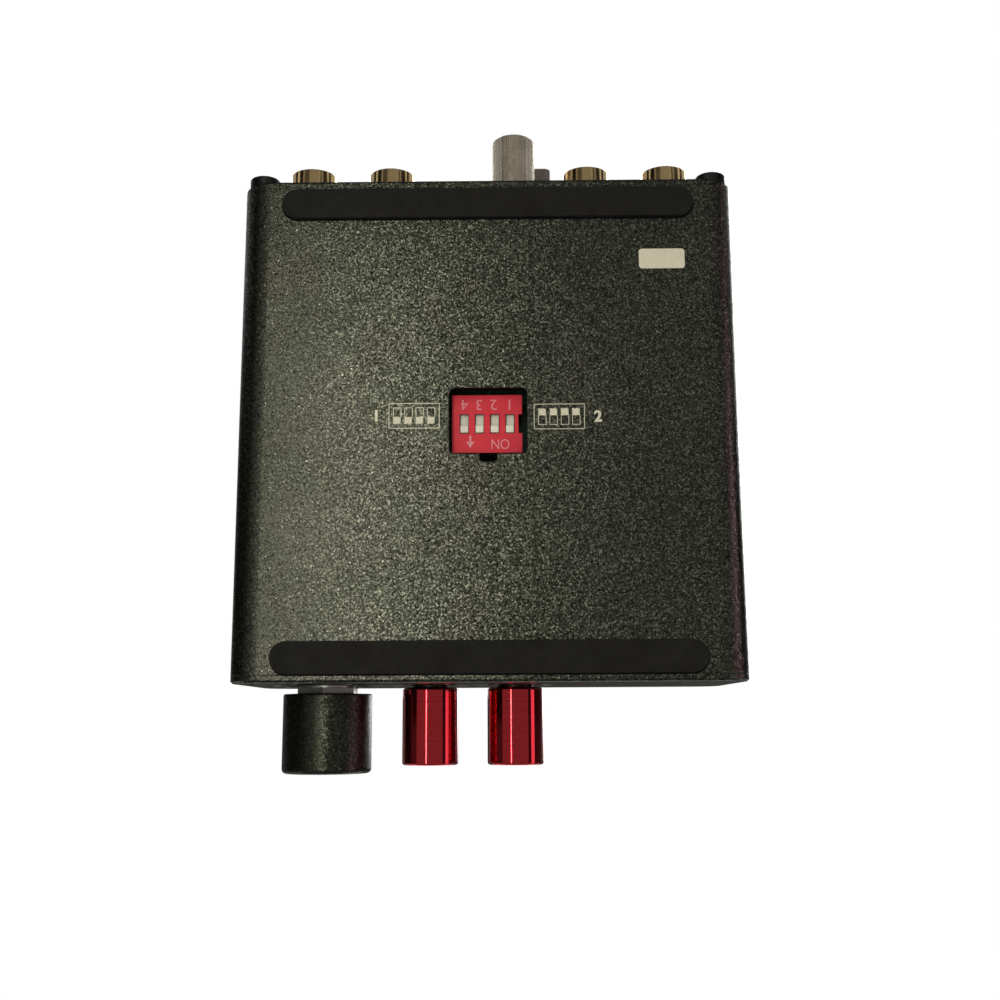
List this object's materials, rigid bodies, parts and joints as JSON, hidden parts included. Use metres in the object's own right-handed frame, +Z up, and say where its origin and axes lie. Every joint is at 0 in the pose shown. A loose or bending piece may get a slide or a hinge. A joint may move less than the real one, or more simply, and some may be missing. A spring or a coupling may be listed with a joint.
{
  "type": "phono preamp",
  "caption": "Small phono preamp in a black extruded sleeve, with a volume knob, red tone knobs, rear phono jacks, a ground post and a gain switch in a bottom window.",
  "frame": {"origin": "on the surface that the foot strips stand on, under the middle of the sleeve", "axes": "+Z up, +Y from the front panel to the rear panel, +X to the right seen from the front"},
  "size_m": [0.084, 0.1147, 0.0368],
  "materials": {
    "black_anodised": "fine sandblasted black anodising with a bright speckle",
    "black_steel": "black zinc",
    "black_rubber": "dense matte foam rubber",
    "green_board": "solder mask",
    "red_plastic": "moulded, light texture",
    "tinned_metal": "tinned or zinc plated",
    "cream_plastic": "moulded",
    "black_plastic": "moulded",
    "gold_plate": "gold flash on brass, turned",
    "white_plastic": "moulded",
    "red_insulator": "moulded",
    "satin_nickel": "satin nickel, straight knurl on the thumb nut",
    "grey_plastic": "moulded, satin",
    "black_knob": "sandblasted black anodising",
    "red_anodised": "glossy red anodising, turned",
    "pot_case": "moulded",
    "light_lens": "clear tinted lens",
    "capacitor_sleeve": "shrink sleeve",
    "film_red": "dipped box",
    "chip_black": "moulded",
    "heat_tab": "plain",
    "resistor_blue": "lacquered"
  },
  "bodies": {
    "enclosure": {"sleeve": "black_anodised", "front_panel": "black_anodised", "rear_panel": "black_anodised", "front_panel_screws": "black_steel", "rear_panel_screws": "black_steel", "front_foot_strip": "black_rubber", "rear_foot_strip": "black_rubber", "main_board": "green_board", "riser_board": "green_board", "gain_switch_base": "red_plastic", "gain_switch_cover": "red_plastic", "gain_switch_pins": "tinned_metal", "input_jack_block": "black_plastic", "output_jack_block": "black_plastic", "input_left_barrel": "gold_plate", "input_right_barrel": "gold_plate", "output_left_barrel": "gold_plate", "output_right_barrel": "gold_plate", "left_jack_insulators": "white_plastic", "right_jack_insulators": "red_insulator", "jack_center_contacts": "gold_plate", "ground_stud": "gold_plate", "ground_inner_nut": "tinned_metal", "ground_tag": "tinned_metal", "dc_inlet_body": "black_plastic", "dc_inlet_pin": "tinned_metal", "power_switch_case": "black_plastic", "power_switch_spring": "tinned_metal", "volume_pot_body": "tinned_metal", "volume_pot_bushing": "satin_nickel", "volume_pot_washer": "tinned_metal", "volume_pot_nut": "tinned_metal", "treble_pot_body": "pot_case", "bass_pot_body": "pot_case", "headphone_socket_body": "black_plastic", "headphone_socket_bush": "black_plastic", "power_light": "light_lens", "power_light_spacer": "black_plastic", "electrolytic_capacitors": "capacitor_sleeve", "film_capacitors": "film_red", "op_amp_sockets": "black_plastic", "op_amps": "chip_black", "voltage_regulator": "heat_tab", "resistors": "resistor_blue"},
    "volume_control": {"volume_shaft": "satin_nickel", "volume_knob": "black_knob", "volume_knob_set_screw": "black_steel"},
    "treble_control": {"treble_shaft": "satin_nickel", "treble_knob": "red_anodised"},
    "bass_control": {"bass_shaft": "satin_nickel", "bass_knob": "red_anodised"},
    "gain_slider_1": {"gain_slider_1": "cream_plastic"},
    "gain_slider_2": {"gain_slider_2": "cream_plastic"},
    "gain_slider_3": {"gain_slider_3": "cream_plastic"},
    "gain_slider_4": {"gain_slider_4": "cream_plastic"},
    "power_button": {"power_button_stem": "white_plastic", "power_button_cap": "grey_plastic"},
    "ground_washer": {"ground_washer": "satin_nickel"},
    "ground_thumb_nut": {"ground_thumb_nut": "satin_nickel"}
  },
  "joints": [
    {"name": "volume_turn", "type": "hinge", "parent": "enclosure", "child": "volume_control", "pos_m": [0.0281, -0.0424, 0.0188], "axis": [0, 1, 0], "range_deg": [-150, 150]},
    {"name": "treble_turn", "type": "hinge", "parent": "enclosure", "child": "treble_control", "pos_m": [0.0104, -0.0424, 0.0188], "axis": [0, 1, 0], "range_deg": [-150, 150]},
    {"name": "bass_turn", "type": "hinge", "parent": "enclosure", "child": "bass_control", "pos_m": [-0.0042, -0.0424, 0.0188], "axis": [0, 1, 0], "range_deg": [-150, 150]},
    {"name": "gain_slider_1_slide", "type": "slide", "parent": "enclosure", "child": "gain_slider_1", "axis": [0, 1, 0], "range_m": [0, 0.0018]},
    {"name": "gain_slider_2_slide", "type": "slide", "parent": "enclosure", "child": "gain_slider_2", "axis": [0, 1, 0], "range_m": [0, 0.0018]},
    {"name": "gain_slider_3_slide", "type": "slide", "parent": "enclosure", "child": "gain_slider_3", "axis": [0, 1, 0], "range_m": [0, 0.0018]},
    {"name": "gain_slider_4_slide", "type": "slide", "parent": "enclosure", "child": "gain_slider_4", "axis": [0, 1, 0], "range_m": [0, 0.0018]},
    {"name": "power_button_press", "type": "slide", "parent": "enclosure", "child": "power_button", "axis": [0, -1, 0], "range_m": [0, 0.003], "stiffness_N_per_m": 250},
    {"name": "ground_washer_slide", "type": "slide", "parent": "enclosure", "child": "ground_washer", "axis": [0, 1, 0], "range_m": [0, 0.0014]},
    {"name": "ground_nut_turn", "type": "hinge", "parent": "ground_washer", "child": "ground_thumb_nut", "pos_m": [-0.0046, 0.0424, 0.0178], "axis": [0, 1, 0], "range_deg": [0, 720]}
  ],
  "couplings": [
    {"joint": "ground_nut_turn", "follows": "ground_washer_slide", "rad_per_m": 8976}
  ]
}
